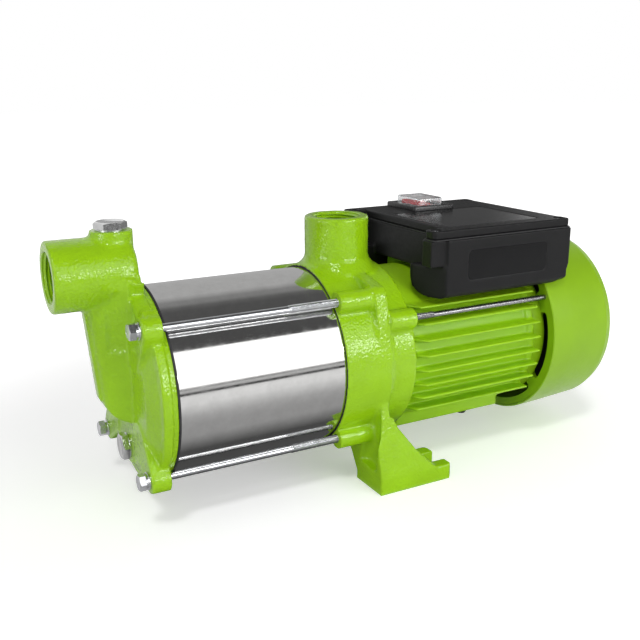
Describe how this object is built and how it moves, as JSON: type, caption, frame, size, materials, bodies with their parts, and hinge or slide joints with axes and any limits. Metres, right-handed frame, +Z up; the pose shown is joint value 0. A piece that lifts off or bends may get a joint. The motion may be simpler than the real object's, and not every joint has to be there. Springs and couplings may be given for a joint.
{
  "type": "horizontal multistage surface pump",
  "caption": "Electric horizontal multistage centrifugal pump with a stainless stage sleeve, threaded inlet and outlet, finned motor, fan cover and terminal box on slotted feet.",
  "frame": {"origin": "centre of the bounding box's footprint, at the underside of the feet", "axes": "+X along the shaft from the inlet to the motor, +Z up, -Y towards the side that the picture shows"},
  "size_m": [0.4302, 0.151, 0.2007],
  "materials": {
    "casing_paint": "glossy enamel over a sand-cast surface, with an orange-peel texture",
    "frame_paint": "semi-gloss enamel on smooth castings and sheet",
    "sleeve_steel": "bright stainless sheet, lightly brushed",
    "zinc": "bright zinc plate",
    "plug_steel": "nickel plate, satin",
    "shaft_steel": "turned stainless steel",
    "bearing_steel": "ground bearing steel",
    "brass": "pressed brass, satin",
    "seal_rubber": "black rubber, matt",
    "carbon": "lapped carbon graphite, satin",
    "ceramic": "lapped ceramic, glossy",
    "stage_plastic": "glass-filled black moulding, satin",
    "lamination": "stacked electrical steel, dull",
    "copper": "varnished copper wire",
    "fan_plastic": "black moulding, matt",
    "box_plastic": "black moulding, fine spark-eroded satin",
    "rocker_red": "glossy red moulding",
    "cover_clear": "clear flexible plastic",
    "capacitor_case": "pale grey moulding",
    "terminal_white": "off-white moulding"
  },
  "bodies": {
    "pump": {"suction_casing": "casing_paint", "sleeve": "sleeve_steel", "front_seal_ring": "seal_rubber", "rear_seal_ring": "seal_rubber", "tie_bolts": "zinc", "tie_washers": "zinc", "tie_spring_washers": "zinc", "outlet_casing": "casing_paint", "inlet_plate": "stage_plastic", "diffuser_1": "stage_plastic", "diffuser_2": "stage_plastic", "diffuser_3": "stage_plastic", "diffuser_4": "stage_plastic", "diffuser_5": "stage_plastic", "seal_seat": "ceramic", "front_bearing_outer": "bearing_steel", "rear_bearing_outer": "bearing_steel", "stator_core": "lamination", "stator_windings": "copper", "motor_frame": "frame_paint", "rail_plug": "seal_rubber", "rear_shield": "frame_paint", "through_bolts": "zinc", "fan_cover": "frame_paint", "terminal_box": "box_plastic", "box_seal": "seal_rubber", "box_lid": "box_plastic", "lid_screws": "zinc", "switch_body": "box_plastic", "switch_cover": "cover_clear", "capacitor": "capacitor_case", "capacitor_clip": "box_plastic", "terminal_block": "terminal_white", "cable_gland": "box_plastic", "gland_nut": "box_plastic"},
    "rotor": {"shaft": "shaft_steel", "impeller_1": "stage_plastic", "impeller_2": "stage_plastic", "impeller_3": "stage_plastic", "impeller_4": "stage_plastic", "impeller_5": "stage_plastic", "impeller_nut": "shaft_steel", "seal_collar": "shaft_steel", "seal_ring": "carbon", "seal_spring": "shaft_steel", "slinger": "seal_rubber", "front_bearing_inner": "bearing_steel", "rear_bearing_inner": "bearing_steel", "rotor_core": "lamination", "fan": "fan_plastic"},
    "front_cage": {"front_bearing_cage": "brass", "front_bearing_balls": "bearing_steel"},
    "rear_cage": {"rear_bearing_cage": "brass", "rear_bearing_balls": "bearing_steel"},
    "rocker": {"switch_rocker": "rocker_red"},
    "priming_washer": {"priming_washer": "zinc"},
    "priming_plug": {"priming_plug": "plug_steel"},
    "drain_washer": {"drain_washer": "zinc"},
    "drain_plug": {"drain_plug": "plug_steel"}
  },
  "joints": [
    {"name": "shaft_spin", "type": "hinge", "parent": "pump", "child": "rotor", "pos_m": [-0.0349, 0, 0.09], "axis": [1, 0, 0], "continuous": true},
    {"name": "front_cage_spin", "type": "hinge", "parent": "pump", "child": "front_cage", "pos_m": [0.0121, 0, 0.09], "axis": [1, 0, 0], "continuous": true},
    {"name": "rear_cage_spin", "type": "hinge", "parent": "pump", "child": "rear_cage", "pos_m": [0.1376, 0, 0.09], "axis": [1, 0, 0], "continuous": true},
    {"name": "rocker_tilt", "type": "hinge", "parent": "pump", "child": "rocker", "pos_m": [0.0971, 0.044, 0.186], "axis": [1, 0, 0], "range_deg": [-14, 0]},
    {"name": "priming_lift", "type": "slide", "parent": "pump", "child": "priming_washer", "axis": [0, 0, 1], "range_m": [0, 0.012]},
    {"name": "priming_unscrew", "type": "hinge", "parent": "priming_washer", "child": "priming_plug", "pos_m": [-0.1729, 0, 0.195], "axis": [0, 0, 1], "range_deg": [0, 2880]},
    {"name": "drain_lift", "type": "slide", "parent": "pump", "child": "drain_washer", "axis": [-1, 0, 0], "range_m": [0, 0.008]},
    {"name": "drain_unscrew", "type": "hinge", "parent": "drain_washer", "child": "drain_plug", "pos_m": [-0.1714, 0, 0.045], "axis": [-1, 0, 0], "range_deg": [0, 1920]}
  ],
  "couplings": [
    {"joint": "front_cage_spin", "follows": "shaft_spin", "ratio": 0.3821},
    {"joint": "rear_cage_spin", "follows": "shaft_spin", "ratio": 0.3768},
    {"joint": "priming_unscrew", "follows": "priming_lift", "rad_per_m": 4188.8},
    {"joint": "drain_unscrew", "follows": "drain_lift", "rad_per_m": 4188.8}
  ]
}
